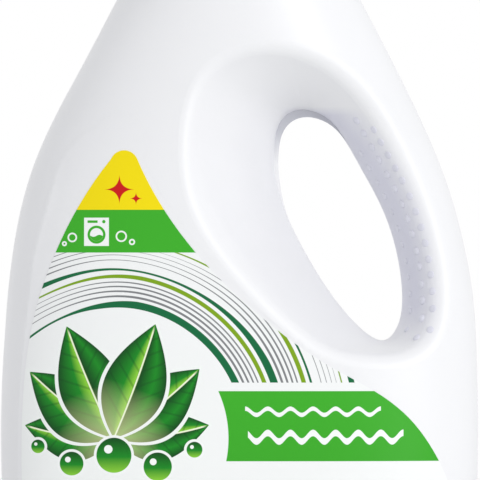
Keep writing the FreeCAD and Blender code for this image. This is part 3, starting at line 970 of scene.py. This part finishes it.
class LAUNDRY_OT_grip(bpy.types.Operator):
    """Set the rows of raised dots on both sides of the grip"""
    bl_idname = "laundry.grip"
    bl_label = "Grip dots"

    def execute(self, context):
        grip = context.scene.laundry_grip
        front = grip_spots(grip)
        flip = Vector((1, -1, 1))
        spots = front + [(place * flip, facing * flip, share) for place, facing, share in front]
        mesh = bpy.data.meshes.new("grip_points")
        mesh.from_pydata([place for place, _, _ in spots], [], [])
        for name, column in (("facing", 1), ("share", 2)):
            values = mesh.attributes.new(name, "FLOAT_VECTOR", "POINT")
            for item, dot in zip(values.data, spots):
                item.vector = dot[column]
        source = bpy.data.objects.new("grip_points", mesh)
        context.scene.collection.objects.link(source)
        tree = dot_tree(dot_plastic(context.scene.laundry_plastic))
        modifier = source.modifiers.new("dots", "NODES")
        modifier.node_group = tree
        sockets = {s.name: s.identifier for s in tree.interface.items_tree if s.in_out == "INPUT"}
        modifier[sockets["Radius"]] = grip.radius
        modifier[sockets["Rise"]] = grip.rise
        modifier[sockets["Sides"]] = grip.sides
        dots = evaluated("grip_dots", source)
        dots.data.shade_smooth()
        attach(dots, "bottle")
        return {"FINISHED"}


# Large soft lamp, to the right in front: its place and size. Then the sky's tint and the size of the floor.
KEY_PLACE, KEY_SIZE = (1.2, -1.5, 0.75), (0.9, 1.4)
SKY_TINT = (0.965, 0.975, 1.0, 1)
FLOOR_SIZE, FLOOR_BACK = 3.0, 0.5


def add_lamp(name, place, target, size, power):
    lamp = bpy.data.lights.new(name, "AREA")
    lamp.shape = "RECTANGLE"
    lamp.size, lamp.size_y = size
    lamp.energy = power
    holder = bpy.data.objects.new(name, lamp)
    holder.location = place
    holder.rotation_euler = (Vector(target) - Vector(place)).to_track_quat("-Z", "Y").to_euler()
    bpy.context.scene.collection.objects.link(holder)


def white_world(strength):
    """Even light from all round, plain white where the camera, gloss or glass sees it."""
    world = bpy.data.worlds.new("studio_sky")
    world.use_nodes = True
    bpy.context.scene.world = world
    tree = world.node_tree
    path = tree.nodes.new("ShaderNodeLightPath")
    seen = path.outputs["Is Camera Ray"]
    for ray in ("Is Glossy Ray", "Is Transmission Ray"):
        either = tree.nodes.new("ShaderNodeMath")
        either.operation = "MAXIMUM"
        tree.links.new(seen, either.inputs[0])
        tree.links.new(path.outputs[ray], either.inputs[1])
        seen = either.outputs[0]
    shader = tree.nodes["Background"]
    for kind, socket, light, white in (
            ("RGBA", "Color", SKY_TINT, (1, 1, 1, 1)), ("FLOAT", "Strength", strength, 1.0)):
        mix = tree.nodes.new("ShaderNodeMix")
        mix.data_type = kind
        mix.inputs["A"].default_value = light
        mix.inputs["B"].default_value = white
        tree.links.new(seen, mix.inputs["Factor"])
        tree.links.new(mix.outputs["Result"], shader.inputs[socket])


def floor_surface():
    """Plain near-white floor."""
    finish = Finish("studio_floor", roughness=0.6)
    spot, _ = finish.place()
    cloud = finish.noise(spot, 3.0).above(0.5, 0.5)
    finish.feed("Base Color", finish.over((0.9, 0.9, 0.9), (0.86, 0.86, 0.86), cloud))
    return finish.material


class LAUNDRY_OT_studio(bpy.types.Operator):
    """Set up the floor, the light and the camera"""
    bl_idname = "laundry.studio"
    bl_label = "Studio"

    def execute(self, context):
        studio = context.scene.laundry_studio
        low = CAD_BOX[0]
        bpy.ops.mesh.primitive_plane_add(size=FLOOR_SIZE, location=(0, FLOOR_BACK, low[2]))
        floor = context.object
        floor.name = "studio_floor"
        floor.data.materials.append(floor_surface())
        white_world(studio.sky)
        middle = (0, 0, studio.view_centre)
        add_lamp("key_lamp", KEY_PLACE, middle, KEY_SIZE, studio.key)
        camera = bpy.data.cameras.new("photo_camera")
        camera.sensor_width = 36.0
        camera.lens = camera.sensor_width * studio.distance / studio.view_width
        camera.clip_end = 50.0
        holder = bpy.data.objects.new("photo_camera", camera)
        holder.location = (studio.view_shift, -studio.distance, studio.view_centre)
        holder.rotation_euler = (math.pi / 2, 0, 0)
        context.scene.collection.objects.link(holder)
        context.scene.camera = holder
        context.scene.view_settings.view_transform = "Standard"
        return {"FINISHED"}


OPERATORS = (LAUNDRY_OT_bottle, LAUNDRY_OT_label, LAUNDRY_OT_closure, LAUNDRY_OT_grip, LAUNDRY_OT_studio)


class LAUNDRY_PT_panel(bpy.types.Panel):
    bl_idname = "LAUNDRY_PT_panel"
    bl_label = "Laundry bottle"
    bl_space_type = "VIEW_3D"
    bl_region_type = "UI"
    bl_category = "Laundry bottle"

    def draw(self, context):
        for operator in OPERATORS:
            self.layout.operator(operator.bl_idname)


GROUPS = {
    "laundry_plastic": PlasticSettings,
    "laundry_label": LabelSettings,
    "laundry_panel": PanelSettings,
    "laundry_grip": GripSettings,
    "laundry_web": WebSettings,
    "laundry_studio": StudioSettings,
}


def register():
    for name, group in GROUPS.items():
        bpy.utils.register_class(group)
        setattr(bpy.types.Scene, name, PointerProperty(type=group))
    for operator in OPERATORS:
        bpy.utils.register_class(operator)
    bpy.utils.register_class(LAUNDRY_PT_panel)


def unregister():
    bpy.utils.unregister_class(LAUNDRY_PT_panel)
    for operator in reversed(OPERATORS):
        bpy.utils.unregister_class(operator)
    for name, group in reversed(list(GROUPS.items())):
        delattr(bpy.types.Scene, name)
        bpy.utils.unregister_class(group)


def main():
    register()
    bpy.ops.laundry.bottle()
    bpy.ops.laundry.label()
    bpy.ops.laundry.closure()
    bpy.ops.laundry.grip()
    bpy.ops.laundry.studio()


if __name__ == "__main__":
    main()
